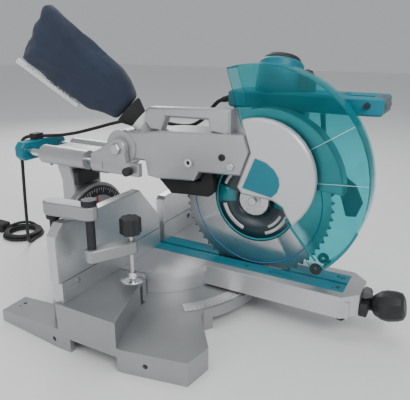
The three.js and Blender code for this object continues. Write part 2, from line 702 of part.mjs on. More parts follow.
function viseScrew() {
  const knob = prism(lobedKnob(19, 2.5, 8, 4), 107, 137, X, Y, 2,
    new THREE.Vector3(SCREW.x, SCREW.y, 0));
  return knob.add(rodZ(27, 110, SCREW.x, SCREW.y, SCREW.r, 12));
}

const viseFoot = () => cut(lathe([[0, 18], [21, 18], [23, 20], [23, 22.5], [9, 25], [8, 34], [0, 34]],
  new THREE.Vector3(SCREW.x, SCREW.y, 0), Z, 28), rodZ(26.6, 40, SCREW.x, SCREW.y, 4.5, 12));

// ---------------------------------------------------------------- cord

const CORD_TO_PIVOT = [
  [62.1, -108.9, 309.7], [63, -101, 306.6], [66, -88, 296], [71, -62, 268], [77, -30, 250], [81, 10, 246],
  [83, 60, 250],
];
const CORD_TO_COIL = [
  [83, 60.4, 250], [82.4, 100, 251], [79, 138, 247], [71, 185, 236], [60, 228, 223],
  [46, 275, 210], [32, 311.8, 203.2], [14, 327.4, 203.7], [-11, 349, 204.4], [-22, 358.5, 204.6],
  [-30, 369, 200], [-32, 378, 188], [-31, 384, 170], [-29, 386, 144], [-31, 386, 104],
  [-34, 385, 63],
  [-35, 386, 20], [-33, 390, -20], [-28, 398, -52], [-19, 408, -74], [-6, 416, -84.4],
  [7, 417.6, -84.8], [23.6, 417.6, -84.8],
];

const vectors = (points) => points.map((p) => new THREE.Vector3(...p));

function cordTube(points, steps) {
  const curve = new THREE.CatmullRomCurve3(vectors(points), false, 'centripetal');
  return toSolid(new THREE.ExtrudeGeometry(shapeOf(circle(0, 0, CORD_R, 8)), {
    extrudePath: curve,
    steps,
    bevelEnabled: false,
  }));
}

const cordCoil = () => lathe([
  [COIL.r - COIL.halfWidth + 2, 0], [COIL.r + COIL.halfWidth - 2, 0],
  [COIL.r + COIL.halfWidth, 4], [COIL.r + COIL.halfWidth, COIL.height - 4],
  [COIL.r + COIL.halfWidth - 2, COIL.height], [COIL.r - COIL.halfWidth + 2, COIL.height],
  [COIL.r - COIL.halfWidth, COIL.height - 4], [COIL.r - COIL.halfWidth, 4],
  [COIL.r - COIL.halfWidth + 2, 0],
], new THREE.Vector3(COIL.x, COIL.y, BENCH_Z + 0.2), Z, 24);

function cordPlug() {
  const x = COIL.x - 4;
  const y = COIL.y + 60;
  const body = prism([[-15, 0.2], [15, 0.2], [17, 8], [15, 24], [-15, 24], [-17, 8]],
    -y - 46, -y, X, Z, 3, new THREE.Vector3(x, 0, BENCH_Z));
  const blades = [-6.4, 6.4].map((dx) => box(x + dx - 0.8, x + dx + 0.8, y + 44, y + 64,
    BENCH_Z + 9, BENCH_Z + 15.4));
  const earthPin = rodY(y + 44, y + 66, x, BENCH_Z + 19, 2.3, 10);
  return join(body, ...blades, earthPin);
}

// ---------------------------------------------------------------- assembly

const saw = new THREE.Group();
saw.name = 'miter_saw';

function add(name, solid, finish) {
  const mesh = new THREE.Mesh(toGeometry(solid), new THREE.MeshStandardMaterial(finish));
  mesh.name = name;
  saw.add(mesh);
}

add('base_casting', baseCasting(), CAST);
add('miter_scale_plate', miterScalePlate(), SILVER);
add('fence_fixed', fenceFixed(), CAST);
add('fence_upper_left', fenceUpperLeft(), CAST);
add('fence_upper_right', fenceUpperRight(), CAST);
add('fence_knob_left', fenceKnob(-1), BLACK);
add('fence_knob_right', fenceKnob(1), BLACK);
add('turntable_casting', turntableCasting(), CAST);
add('kerf_board_left', kerfBoard(-1), TEAL_BOARD);
add('kerf_board_right', kerfBoard(1), TEAL_BOARD);
add('lock_housing', lockHousing(), BLACK);
add('miter_grip', miterGrip(), BLACK);
add('thumb_lever', thumbLever(), GREY_RUBBER);
add('lock_lever', lockLever(), BLACK);
add('arm_holder', armHolder(), CAST);
add('bevel_scale', bevelScale(), BLACK);
add('bevel_pin', bevelPin(), STEEL);
add('bevel_arm', bevelArm(), CAST);
add('arm_cover', armCover(), BLACK);
add('bevel_lever', bevelLever(), DARK_STEEL);
add('slide_lock_knob', slideLockKnob(), BLACK);
add('rail_left', rail(-1), CHROME);
add('rail_right', rail(1), CHROME);
add('rear_end_plate', rearEndPlate(), TEAL);
add('cord_clip', cordClip(), BLACK);
add('carriage_bracket', carriageBracket(), CAST);
add('pivot_pin', pivotPin(), STEEL);
add('stop_pin', stopPin(), BLACK);
add('head_casting', headCasting(), SILVER);
add('dust_chute', dustChute(), RUBBER);
add('dust_nozzle', dustNozzle(), WHITE);
add('dust_cuff', dustCuff(), BLACK);
add('dust_bag', dustBag(), NAVY);
add('handle_housing', handleHousing(), TEAL);
add('handle_grip', handleGrip(), GREY_RUBBER);
add('trigger', trigger(), BLACK);
add('lock_off_button', lockOffButton(), BLACK);
add('motor_barrel', motorBarrel(), TEAL);
add('motor_cap', motorCap(), BLACK);
add('brush_cover', brushCover(), BLACK);
add('gear_housing', gearHousing(), TEAL);
add('shaft_lock', shaftLock(), BLACK);
add('centre_cover', centreCover(), WHITE);
add('work_lamp', workLamp(), BLACK);
add('strain_relief', strainRelief(), RUBBER);
add('saw_blade', sawBlade(), STEEL);
add('spindle', spindle(), DARK_STEEL);
add('arbor_bolt', arborBolt(), SILVER);
add('lower_guard', lowerGuard(), CLEAR_TEAL);
add('roller_left', guardRoller(-1), GREY_RUBBER);
add('roller_right', guardRoller(1), GREY_RUBBER);
add('vise_post', visePost(), BLACK);
add('vise_arm_upper', viseArmUpper(), CAST);
add('vise_arm_lower', viseArmLower(), CAST);
add('vise_screw', viseScrew(), BLACK);
add('vise_foot', viseFoot(), CHROME);
add('cord_head', cordTube(CORD_TO_PIVOT, 10), RUBBER);
add('cord_carriage', cordTube(CORD_TO_COIL, 36), RUBBER);
add('cord_coil', cordCoil(), RUBBER);
add('cord_plug', cordPlug(), RUBBER);

saw.position.set(0, -CENTRE_Y, -BENCH_Z);

export default saw;
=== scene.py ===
"""Looks of the dual-slide compound miter saw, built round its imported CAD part.

Lengths are drawn in millimetres from the point where the miter axis, the fence face and the
table top meet; at() turns them into metres in the part's frame.
"""

import math
import random

import bmesh
import bpy
from mathutils import Matrix, Vector, noise


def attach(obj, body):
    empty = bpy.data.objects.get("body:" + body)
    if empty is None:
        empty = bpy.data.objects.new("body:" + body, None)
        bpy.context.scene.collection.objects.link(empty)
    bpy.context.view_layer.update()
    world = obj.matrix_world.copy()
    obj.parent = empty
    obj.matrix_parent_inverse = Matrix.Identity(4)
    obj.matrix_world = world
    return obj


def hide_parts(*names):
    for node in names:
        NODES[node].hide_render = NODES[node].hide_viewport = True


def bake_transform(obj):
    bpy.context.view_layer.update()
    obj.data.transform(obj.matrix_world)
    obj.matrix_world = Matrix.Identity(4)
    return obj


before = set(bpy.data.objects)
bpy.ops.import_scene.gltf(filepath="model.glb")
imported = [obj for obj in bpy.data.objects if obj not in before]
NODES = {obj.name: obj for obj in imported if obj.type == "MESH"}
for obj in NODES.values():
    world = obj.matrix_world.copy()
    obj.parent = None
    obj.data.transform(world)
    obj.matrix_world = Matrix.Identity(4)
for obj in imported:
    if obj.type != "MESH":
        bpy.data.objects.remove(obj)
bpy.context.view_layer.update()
random.seed(7)

LIFT = Vector((0, 74, 89))
BLADE = (-214.3, 133.3)
GUARD = (-221, 180.5)
BENCH_Z = -89


def at(x, y, z):
    return (Vector((x, y, z)) + LIFT) / 1000


# ---------------------------------------------------------------- materials

def shader(name):
    material = bpy.data.materials.new(name)
    material.use_nodes = True
    nodes = material.node_tree.nodes
    return material, nodes, material.node_tree.links, nodes["Principled BSDF"]


def node(nodes, kind, **values):
    made = nodes.new(kind)
    for key, value in values.items():
        if hasattr(made, key):
            setattr(made, key, value)
        else:
            made.inputs[key.replace("_", " ")].default_value = value
    return made


def surface(name, color, rough=0.5, metal=0.0, grain=250.0, bump=0.1, stretch=(1, 1, 1),
            spread=0.12, coat=0.0, dust=0.0, depth=0.0004):
    """A surface whose colour, gloss and height all vary with fine grain and slow mottling."""
    material, nodes, links, main = shader(name)
    main.inputs["Metallic"].default_value = metal
    main.inputs["Coat Weight"].default_value = coat
    main.inputs["Coat Roughness"].default_value = 0.2
    place = node(nodes, "ShaderNodeTexCoord")
    mapping = node(nodes, "ShaderNodeMapping")
    mapping.inputs["Scale"].default_value = stretch
    links.new(place.outputs["Object"], mapping.inputs["Vector"])
    fine = node(nodes, "ShaderNodeTexNoise", Scale=grain, Detail=6.0, Roughness=0.6)
    slow = node(nodes, "ShaderNodeTexNoise", Scale=14.0, Detail=4.0, Roughness=0.5)
    links.new(mapping.outputs["Vector"], fine.inputs["Vector"])
    links.new(place.outputs["Object"], slow.inputs["Vector"])
    tint = node(nodes, "ShaderNodeValToRGB")
    low, high = tint.color_ramp.elements
    low.position, high.position = 0.3, 0.75
    low.color = (*[c * (1 - spread) for c in color], 1)
    high.color = (*[min(1, c * (1 + spread) + dust) for c in color], 1)
    both = node(nodes, "ShaderNodeMix", data_type="FLOAT")
    both.inputs[0].default_value = 0.5
    links.new(fine.outputs[0], both.inputs[2])
    links.new(slow.outputs[0], both.inputs[3])
    links.new(both.outputs[0], tint.inputs["Fac"])
    links.new(tint.outputs["Color"], main.inputs["Base Color"])
    gloss = node(nodes, "ShaderNodeMapRange")
    gloss.inputs["To Min"].default_value = max(0.02, rough - 0.1)
    gloss.inputs["To Max"].default_value = min(1.0, rough + 0.12)
    links.new(both.outputs[0], gloss.inputs["Value"])
    links.new(gloss.outputs["Result"], main.inputs["Roughness"])
    relief = node(nodes, "ShaderNodeBump", Strength=bump, Distance=depth)
    links.new(fine.outputs[0], relief.inputs["Height"])
    links.new(relief.outputs["Normal"], main.inputs["Normal"])
    return material


def turned(name, color, rough, centre, axis=0, metal=1.0):
    """Metal with the fine rings that turning or grinding leaves about an axis."""
    material = surface(name, color, rough, metal, grain=180, bump=0.05)
    nodes, links = material.node_tree.nodes, material.node_tree.links
    main = nodes["Principled BSDF"]
    place = node(nodes, "ShaderNodeTexCoord")
    shift = node(nodes, "ShaderNodeVectorMath", operation="SUBTRACT")
    shift.inputs[1].default_value = centre
    flat = node(nodes, "ShaderNodeVectorMath", operation="MULTIPLY")
    flat.inputs[1].default_value = [0.0 if i == axis else 1.0 for i in range(3)]
    reach = node(nodes, "ShaderNodeVectorMath", operation="LENGTH")
    rings = node(nodes, "ShaderNodeTexNoise", noise_dimensions="1D", Scale=900.0, Detail=4.0)
    relief = node(nodes, "ShaderNodeBump", Strength=0.22, Distance=0.0003)
    links.new(place.outputs["Object"], shift.inputs[0])
    links.new(shift.outputs[0], flat.inputs[0])
    links.new(flat.outputs[0], reach.inputs[0])
    links.new(reach.outputs["Value"], rings.inputs["W"])
    links.new(rings.outputs[0], relief.inputs["Height"])
    links.new(relief.outputs["Normal"], main.inputs["Normal"])
    main.inputs["Anisotropic"].default_value = 0.5
    return material


def clear(name, tint, body, share=0.3):
    """Thin tinted polycarbonate: mostly see-through, glossy at a slant, faintly hazed."""
    material, nodes, links, main = shader(name)
    place = node(nodes, "ShaderNodeTexCoord")
    haze = node(nodes, "ShaderNodeTexNoise", Scale=30.0, Detail=6.0)
    links.new(place.outputs["Object"], haze.inputs["Vector"])
    amount = node(nodes, "ShaderNodeMapRange")
    amount.inputs["To Min"].default_value = share - 0.06
    amount.inputs["To Max"].default_value = share + 0.1
    links.new(haze.outputs[0], amount.inputs["Value"])
    through = node(nodes, "ShaderNodeBsdfTransparent", Color=(*tint, 1))
    main.inputs["Base Color"].default_value = (*body, 1)
    main.inputs["Roughness"].default_value = 0.12
    main.inputs["Specular IOR Level"].default_value = 0.8
    scratch = node(nodes, "ShaderNodeTexNoise", Scale=400.0, Detail=3.0)
    links.new(place.outputs["Object"], scratch.inputs["Vector"])
    relief = node(nodes, "ShaderNodeBump", Strength=0.03, Distance=0.0003)
    links.new(scratch.outputs[0], relief.inputs["Height"])
    links.new(relief.outputs["Normal"], main.inputs["Normal"])
    edge = node(nodes, "ShaderNodeLayerWeight", Blend=0.35)
    most = node(nodes, "ShaderNodeMath", operation="MAXIMUM")
    links.new(amount.outputs["Result"], most.inputs[0])
    links.new(edge.outputs["Fresnel"], most.inputs[1])
    mix = node(nodes, "ShaderNodeMixShader")
    links.new(most.outputs[0], mix.inputs["Fac"])
    links.new(through.outputs[0], mix.inputs[1])
    links.new(main.outputs[0], mix.inputs[2])
    links.new(mix.outputs[0], nodes["Material Output"].inputs["Surface"])
    return material


def woven(name, color):
    """Plain-weave cloth: two crossed thread waves with fuzz."""
    material = surface(name, color, 0.9, 0.0, grain=600, bump=0.2, spread=0.3)
    nodes, links = material.node_tree.nodes, material.node_tree.links
    main = nodes["Principled BSDF"]
    main.inputs["Sheen Weight"].default_value = 0.15
    place = node(nodes, "ShaderNodeTexCoord")
    heights = []
    for direction in ("X", "Z"):
        wave = node(nodes, "ShaderNodeTexWave", bands_direction=direction, Scale=520.0,
                    Distortion=1.2, Detail=1.0)
        links.new(place.outputs["Object"], wave.inputs["Vector"])
        heights.append(wave)
    weave = node(nodes, "ShaderNodeMath", operation="MULTIPLY")
    links.new(heights[0].outputs[0], weave.inputs[0])
    links.new(heights[1].outputs[0], weave.inputs[1])
    relief = node(nodes, "ShaderNodeBump", Strength=0.5, Distance=0.0006)
    links.new(weave.outputs[0], relief.inputs["Height"])
    links.new(relief.outputs["Normal"], main.inputs["Normal"])
    return material


CAST = surface("cast_aluminium", (0.37, 0.38, 0.385), 0.42, 0.75, 420, 0.35, spread=0.1)
MACHINED = surface("machined_top", (0.62, 0.63, 0.64), 0.34, 0.85, 300, 0.12, (0.15, 6, 1))
PAINT = surface("silver_paint", (0.45, 0.46, 0.47), 0.36, 0.6, 700, 0.08, coat=0.4, spread=0.08)
WHITE = surface("satin_cover", (0.60, 0.61, 0.62), 0.38, 0.25, 500, 0.06, coat=0.3, spread=0.05)
CHROME = surface("ground_chrome", (0.80, 0.81, 0.82), 0.12, 1.0, 200, 0.03, (1, 0.05, 1))
STEEL = surface("bright_steel", (0.62, 0.62, 0.62), 0.28, 1.0, 350, 0.1)
DARK_STEEL = surface("blackened_steel", (0.035, 0.035, 0.04), 0.42, 0.7, 300, 0.15, dust=0.01)
BLADE_STEEL = turned("blade_steel", (0.72, 0.72, 0.72), 0.36, at(0, *BLADE))
TEAL = surface("teal_nylon", (0.0, 0.185, 0.255), 0.42, 0.0, 900, 0.25, spread=0.12)
TEAL_BOARD = surface("teal_board", (0.004, 0.19, 0.26), 0.5, 0.0, 500, 0.2, spread=0.15)
CLEAR_TEAL = clear("clear_teal", (0.60, 0.94, 0.96), (0.02, 0.36, 0.40), 0.11)
# Pale cyan standing for the light caught along the guard's creases: a painted highlight, not the
# plastic's own colour.
CREASE_HIGHLIGHT = surface("painted_crease_highlight", (0.40, 0.72, 0.76), 0.2, 0.0, 300, 0.05, spread=0.08)
EDGE_TEAL = surface("moulded_teal_edge", (0.0, 0.20, 0.24), 0.25, 0.0, 300, 0.06, spread=0.1)
BLACK = surface("black_nylon", (0.014, 0.014, 0.016), 0.5, 0.0, 800, 0.3, dust=0.006)
RUBBER = surface("black_rubber", (0.012, 0.012, 0.013), 0.75, 0.0, 500, 0.3, dust=0.01)
GREY_RUBBER = surface("grey_rubber", (0.12, 0.125, 0.13), 0.8, 0.0, 500, 0.35)
IVORY = surface("white_nylon", (0.68, 0.69, 0.69), 0.45, 0.0, 600, 0.12, spread=0.05)
NAVY = woven("navy_cloth", (0.022, 0.034, 0.062))
RED = surface("red_lacquer", (0.45, 0.02, 0.015), 0.4, 0.0, 400, 0.1)
LABEL = surface("blade_label", (0.01, 0.03, 0.04), 0.3, 0.0, 400, 0.04, coat=0.5)
LABEL_TEAL = surface("blade_label_teal", (0.0, 0.22, 0.26), 0.3, 0.0, 400, 0.04, coat=0.5)
BLUE = surface("blue_ring", (0.05, 0.20, 0.42), 0.3, 0.3, 400, 0.04)
CARBIDE = surface("carbide", (0.22, 0.22, 0.23), 0.3, 1.0, 500, 0.1)
FLOOR = surface("pale_floor", (0.86, 0.86, 0.86), 0.6, 0.0, 60, 0.02, spread=0.01)

LOOKS = {
    "base_casting": CAST, "miter_scale_plate": MACHINED, "fence_fixed": MACHINED,
    "fence_upper_left": MACHINED, "fence_upper_right": MACHINED, "fence_knob_left": BLACK,
    "fence_knob_right": BLACK, "turntable_casting": MACHINED, "kerf_board_left": TEAL_BOARD,
    "kerf_board_right": TEAL_BOARD, "lock_housing": BLACK, "miter_grip": BLACK,
    "thumb_lever": GREY_RUBBER, "lock_lever": BLACK, "arm_holder": CAST, "bevel_scale": DARK_STEEL,
    "bevel_pin": STEEL, "bevel_arm": PAINT, "arm_cover": BLACK, "bevel_lever": DARK_STEEL,
    "slide_lock_knob": BLACK, "rail_left": CHROME, "rail_right": CHROME, "rear_end_plate": TEAL,
    "cord_clip": BLACK, "carriage_bracket": PAINT, "pivot_pin": STEEL, "stop_pin": BLACK,
    "head_casting": PAINT, "dust_chute": RUBBER, "dust_nozzle": IVORY, "dust_cuff": RUBBER,
    "dust_bag": NAVY, "handle_housing": TEAL, "handle_grip": GREY_RUBBER, "trigger": BLACK,
    "lock_off_button": BLACK, "motor_barrel": TEAL, "motor_cap": BLACK, "brush_cover": BLACK,
    "gear_housing": TEAL, "shaft_lock": BLACK, "centre_cover": WHITE, "work_lamp": BLACK,
    "strain_relief": RUBBER, "saw_blade": BLADE_STEEL, "spindle": DARK_STEEL, "arbor_bolt": STEEL,
    "lower_guard": CLEAR_TEAL, "roller_left": BLACK, "roller_right": BLACK,
    "vise_post": DARK_STEEL, "vise_arm_upper": CAST, "vise_arm_lower": CAST, "vise_screw": BLACK,
    "vise_foot": CHROME, "cord_head": RUBBER, "cord_carriage": RUBBER, "cord_coil": RUBBER,
    "cord_plug": RUBBER,
}
EDGE_WIDTH = {
    "base_casting": 2.2, "head_casting": 1.6, "bevel_arm": 1.6, "carriage_bracket": 1.5,
    "handle_housing": 3.0, "gear_housing": 2.5, "miter_grip": 1.4, "dust_chute": 2.0,
    "handle_grip": 3.0, "motor_cap": 1.5, "fence_upper_left": 0.9, "turntable_casting": 1.0,
    "saw_blade": 0.0, "lower_guard": 0.5, "arm_holder": 1.4, "cord_plug": 1.6,
}


def soften(obj, width, angle=28):
    """Round the hard edges a little and shade the shallow facets as one curved face."""
    custom = obj.data.attributes.get("custom_normal")
    if custom:
        obj.data.attributes.remove(custom)
    obj.data.shade_smooth()
    weld = obj.modifiers.new("weld", "WELD")
    weld.merge_threshold = 1e-5
    if width:
        edge = obj.modifiers.new("edge", "BEVEL")
        edge.width = width / 1000
        edge.segments = 2
        edge.limit_method = "ANGLE"
        edge.angle_limit = math.radians(angle)
        edge.harden_normals = True


for name, look in LOOKS.items():
    obj = NODES[name]
    obj.data.materials.clear()
    obj.data.materials.append(look)
    soften(obj, EDGE_WIDTH.get(name, 0.8))


def paint(name, look, test):
    """Give part of a node a second look: test takes a face's centre in millimetres."""
    mesh = NODES[name].data
    mesh.materials.append(look)
    for face in mesh.polygons:
        if test(Vector(face.center) * 1000 - LIFT):
            face.material_index = len(mesh.materials) - 1


paint("vise_arm_lower", DARK_STEEL, lambda p: p.z > 94.3)
paint("vise_screw", STEEL, lambda p: p.z < 106.5)
paint("arm_holder", CHROME, lambda p: p.y < -60 and p.z < 0)
paint("work_lamp", DARK_STEEL, lambda p: p.z > 160)


# ---------------------------------------------------------------- mesh building

def piece(name, vertices, faces, look, body, edge=0.6, angle=28):
    mesh = bpy.data.meshes.new(name)
    mesh.from_pydata([at(*v) for v in vertices], [], faces)
    mesh.validate()
    bm = bmesh.new()
    bm.from_mesh(mesh)
    bmesh.ops.remove_doubles(bm, verts=bm.verts, dist=1e-7)
    bmesh.ops.recalc_face_normals(bm, faces=bm.faces)
    bm.to_mesh(mesh)
    bm.free()
    mesh.materials.append(look)
    obj = bpy.data.objects.new(name, mesh)
    bpy.context.scene.collection.objects.link(obj)
    soften(obj, edge, angle)
    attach(obj, body)
    return obj


class Solid:
    """Vertices and faces gathered from several simple closed shapes."""

    def __init__(self):
        self.vertices = []
        self.faces = []

    def add(self, vertices, faces):
        first = len(self.vertices)
        self.vertices += [tuple(v) for v in vertices]
        self.faces += [tuple(i + first for i in face) for face in faces]
        return self

    def prism(self, outline, low, high, place):
        count = len(outline)
        points = [place(u, v, low) for u, v in outline] + [place(u, v, high) for u, v in outline]
        sides = [(i, (i + 1) % count, (i + 1) % count + count, i + count) for i in range(count)]
        return self.add(points, sides + [tuple(range(count))[::-1],
                                         tuple(range(count, 2 * count))])

    def turn(self, profile, start, axis, segments=32):
        start, axis = Vector(start), Vector(axis).normalized()
        u = axis.orthogonal().normalized()
        v = axis.cross(u)
        points, faces = [], []
        for r, t in profile:
            for i in range(segments):
                a = 2 * math.pi * i / segments
                points.append(start + axis * t + (u * math.cos(a) + v * math.sin(a)) * r)
        rows = len(profile)
        for j in range(rows - 1):
            for i in range(segments):
                k = (i + 1) % segments
                faces.append((j * segments + i, j * segments + k,
                              (j + 1) * segments + k, (j + 1) * segments + i))
        faces.append(tuple(range(segments))[::-1])
        faces.append(tuple(range((rows - 1) * segments, rows * segments)))
        return self.add(points, faces)

    def make(self, name, look, body, edge=0.6, angle=28):
        return piece(name, self.vertices, self.faces, look, body, edge, angle)


in_x = lambda u, v, w: (w, u, v)
in_y = lambda u, v, w: (u, w, v)
in_z = lambda u, v, w: (u, v, w)


def arc(u, v, r, start, end, steps):
    turns = [math.radians(start + (end - start) * i / steps) for i in range(steps + 1)]
    return [(u + r * math.cos(a), v + r * math.sin(a)) for a in turns]


def ring(u, v, r, count):
    return arc(u, v, r, 0, 360 - 360 / count, count - 1)


def band(outer, inner):
    """Outline of a curved strip between two arcs."""
    return outer + inner[::-1]


# ---------------------------------------------------------------- camera, light, floor

camera = bpy.data.cameras.new("camera")
camera.lens = 42.57
camera.sensor_width = 36
view = bpy.data.objects.new("camera", camera)
bpy.context.scene.collection.objects.link(view)
AZIMUTH, ELEVATION, ROLL = math.radians(-61.43), math.radians(18.28), math.radians(0.30)
back = Vector((math.sin(AZIMUTH) * math.cos(ELEVATION), -math.cos(AZIMUTH) * math.cos(ELEVATION),
               math.sin(ELEVATION)))
turn = back.to_track_quat("Z", "Y").to_matrix().to_4x4() @ Matrix.Rotation(ROLL, 4, "Z")
view.matrix_world = Matrix.Translation(at(-824.05, -552.94, 424.03)) @ turn
bpy.context.scene.camera = view

floor_mesh = bpy.data.meshes.new("floor")
floor_mesh.from_pydata([(-8, -8, 0), (8, -8, 0), (8, 8, 0), (-8, 8, 0)], [], [(0, 1, 2, 3)])
floor_mesh.materials.append(FLOOR)
floor = bpy.data.objects.new("floor", floor_mesh)
bpy.context.scene.collection.objects.link(floor)

world = bpy.data.worlds.new("studio")
world.use_nodes = True
world.node_tree.nodes["Background"].inputs["Color"].default_value = (0.95, 0.97, 1.0, 1)
world.node_tree.nodes["Background"].inputs["Strength"].default_value = 0.45
bpy.context.scene.world = world


def softbox(name, place, target, size, power):
    light = bpy.data.lights.new(name, "AREA")
    light.shape = "RECTANGLE"
    light.size, light.size_y = size
    light.energy = power
    lamp = bpy.data.objects.new(name, light)
    bpy.context.scene.collection.objects.link(lamp)
    aim = (Vector(place) - Vector(target)).to_track_quat("Z", "Y").to_matrix().to_4x4()
    lamp.matrix_world = Matrix.Translation(place) @ aim


softbox("key", (-1.3, -1.6, 1.9), (0, -0.05, 0.25), (1.4, 1.0), 34)
softbox("left", (-1.9, 0.6, 0.9), (0, 0, 0.25), (1.0, 1.4), 9)
softbox("top", (0.2, 0.2, 2.4), (0, 0, 0.2), (1.6, 1.6), 16)
softbox("rim", (1.3, 1.3, 1.3), (0, 0, 0.3), (0.8, 1.2), 16)

# ---------------------------------------------------------------- cord

CORD_R = 4.0
COIL_TURNS = 5.25
COIL_STEPS = 20
COIL_RISE = 8.1
ROUTE = [
    (62.1, -108.9, 309.7), (63, -101, 306.6), (66, -88, 296), (71, -62, 268), (77, -30, 250),
    (81, 10, 246), (83, 60, 250), (82.4, 100, 251), (79, 138, 247), (71, 185, 236), (60, 228, 223),
    (46, 275, 210), (32, 311.8, 203.2), (14, 327.4, 203.7), (-11, 349, 204.4), (-22, 358.5, 204.6),
    (-30, 369, 200), (-32, 378, 188), (-31, 384, 170), (-29, 386, 144), (-31, 386, 104),
    (-34, 385, 63), (-35, 386, 20), (-33, 390, -20), (-28, 398, -52), (-19, 408, -74),
    (-6, 416, -83.9),
]
COIL_X, COIL_Y = 24, 478


def smooth_path(points, step=4.0):
    """Centripetal Catmull-Rom through the points, resampled evenly."""
    points = [Vector(p) for p in points]
    points = [2 * points[0] - points[1]] + points + [2 * points[-1] - points[-2]]
    dense = []
    for i in range(1, len(points) - 2):
        p0, p1, p2, p3 = points[i - 1:i + 3]
        t0 = 0.0
        t1 = t0 + (p1 - p0).length ** 0.5
        t2 = t1 + (p2 - p1).length ** 0.5
        t3 = t2 + (p3 - p2).length ** 0.5
        for k in range(12):
            t = t1 + (t2 - t1) * k / 12
            a1 = p0 * ((t1 - t) / (t1 - t0)) + p1 * ((t - t0) / (t1 - t0))
            a2 = p1 * ((t2 - t) / (t2 - t1)) + p2 * ((t - t1) / (t2 - t1))
            a3 = p2 * ((t3 - t) / (t3 - t2)) + p3 * ((t - t2) / (t3 - t2))
            b1 = a1 * ((t2 - t) / (t2 - t0)) + a2 * ((t - t0) / (t2 - t0))
            b2 = a2 * ((t3 - t) / (t3 - t1)) + a3 * ((t - t1) / (t3 - t1))
            dense.append(b1 * ((t2 - t) / (t2 - t1)) + b2 * ((t - t1) / (t2 - t1)))
    dense.append(points[-2])
    even, left = [dense[0]], step
    for a, b in zip(dense, dense[1:]):
        span = (b - a).length
        while span >= left > 0:
            a = a + (b - a) * (left / span)
            span = (b - a).length
            even.append(a)
            left = step
        left -= span
    even.append(dense[-1])
    return even


def coil_points():
    """Five turns and a quarter: three on the bench spiralling in, the rest on top and out."""
    points = []
    for i in range(int(COIL_TURNS * COIL_STEPS) + 1):
        t = i / COIL_STEPS
        layer = 0 if t < 3 else 1
        inward = t if layer == 0 else 6 - t
        r = 52 - 8.1 * min(2.0, max(0.0, inward * 2.0 / 2.85))
        rise = min(1.0, max(0.0, (t - 2.8) / 0.4))
        a = math.radians(-90 + 360 * t)
        points.append((COIL_X + r * math.cos(a), COIL_Y + r * math.sin(a),
                       BENCH_Z + CORD_R + 0.9 + rise * COIL_RISE))
    return points


def tube(name, path, radius, look, segments=12):
    """A closed tube round a path, with rings that don't twist."""
    solid = Solid()
    points, faces = [], []
    side = None
    for i, p in enumerate(path):
        heading = (path[min(i + 1, len(path) - 1)] - path[max(i - 1, 0)]).normalized()
        side = heading.orthogonal() if side is None else side - heading * side.dot(heading)
        side.normalize()
        up = heading.cross(side)
        for k in range(segments):
            a = 2 * math.pi * k / segments
            points.append(p + (side * math.cos(a) + up * math.sin(a)) * radius)
    for i in range(len(path) - 1):
        for k in range(segments):
            m = (k + 1) % segments
            faces.append((i * segments + k, i * segments + m,
                          (i + 1) * segments + m, (i + 1) * segments + k))
    last = (len(path) - 1) * segments
    faces += [tuple(range(segments))[::-1], tuple(range(last, last + segments))]
    solid.add(points, faces)
    mesh = bpy.data.meshes.new(name)
    mesh.from_pydata([at(*v) for v in solid.vertices], [], solid.faces)
    mesh.materials.append(look)
    mesh.shade_smooth()
    obj = bpy.data.objects.new(name, mesh)
    bpy.context.scene.collection.objects.link(obj)
    return obj


CORD_JACKET = surface("cord_jacket", (0.012, 0.012, 0.013), 0.6, 0.0, 700, 0.25)
cord_path = smooth_path(ROUTE + coil_points() + [
    (72, 487, -73), (66, 500, -68.5), (50, 512, -67), (34, 520, -68), (23, 529, -73),
    (20, 537.6, -76.9)])
cord = tube("power_cord", cord_path, CORD_R, CORD_JACKET)
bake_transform(cord)
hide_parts("cord_head", "cord_carriage", "cord_coil")

# ---------------------------------------------------------------- blade and cover details

def loop(name, section, x0, x1, look, body, centre=BLADE, edge=0.0):
    """A flat ring about an X axis: section is its inner and outer radius."""
    inner, outer = section
    solid = Solid()
    count = 72
    points, faces = [], []
    for r, x in ((inner, x0), (outer, x0), (outer, x1), (inner, x1)):
        points += [(x, centre[0] + r * math.cos(2 * math.pi * i / count),
                    centre[1] + r * math.sin(2 * math.pi * i / count)) for i in range(count)]
    for j in range(4):
        for i in range(count):
            k, m = (i + 1) % count, (j + 1) % 4
            faces.append((j * count + i, j * count + k, m * count + k, m * count + i))
    return solid.add(points, faces).make(name, look, body, edge)


loop("blade_label", (31, 84.9), -1.55, -1.32, LABEL, "blade")
loop("blade_label_rim", (79, 83.5), -1.7, -1.56, LABEL_TEAL, "blade")
loop("blade_ring", (129.6, 131.8), -1.5, -1.32, BLUE, "blade")

bars = Solid()
for start, end, inner, outer in ((200, 250, 66, 72), (205, 240, 56, 61), (290, 345, 62, 70),
                                 (100, 150, 60, 70), (20, 60, 64, 70)):
    bars.prism(band(arc(*BLADE, outer, start, end, 12), arc(*BLADE, inner, start, end, 12)),
               -1.7, -1.56, in_x)
bars.make("blade_label_marks", IVORY, "blade", 0)
patch = Solid()
for start, end in ((-12, 16), (164, 192)):
    patch.prism(band(arc(*BLADE, 77, start, end, 14), arc(*BLADE, 40, start, end, 14)),
                -1.7, -1.56, in_x)
patch.make("blade_label_patch", LABEL_TEAL, "blade", 0)

TEETH = 60
TIP_BACK = 1.9
tips = Solid()
for i in range(TEETH):
    a = 2 * math.pi * i / TEETH
    out = (math.cos(a), math.sin(a))
    along = (-math.sin(a), math.cos(a))
    corners = [(BLADE[0] + out[0] * r + along[0] * t, BLADE[1] + out[1] * r + along[1] * t)
               for r, t in ((147.0, -TIP_BACK), (152.4, -TIP_BACK), (151.8, -TIP_BACK + 2.4),
                            (147.5, -TIP_BACK + 2.2))]
    tips.prism(corners, -1.6, 1.6, in_x)
tips.make("carbide_tips", CARBIDE, "blade", 0)

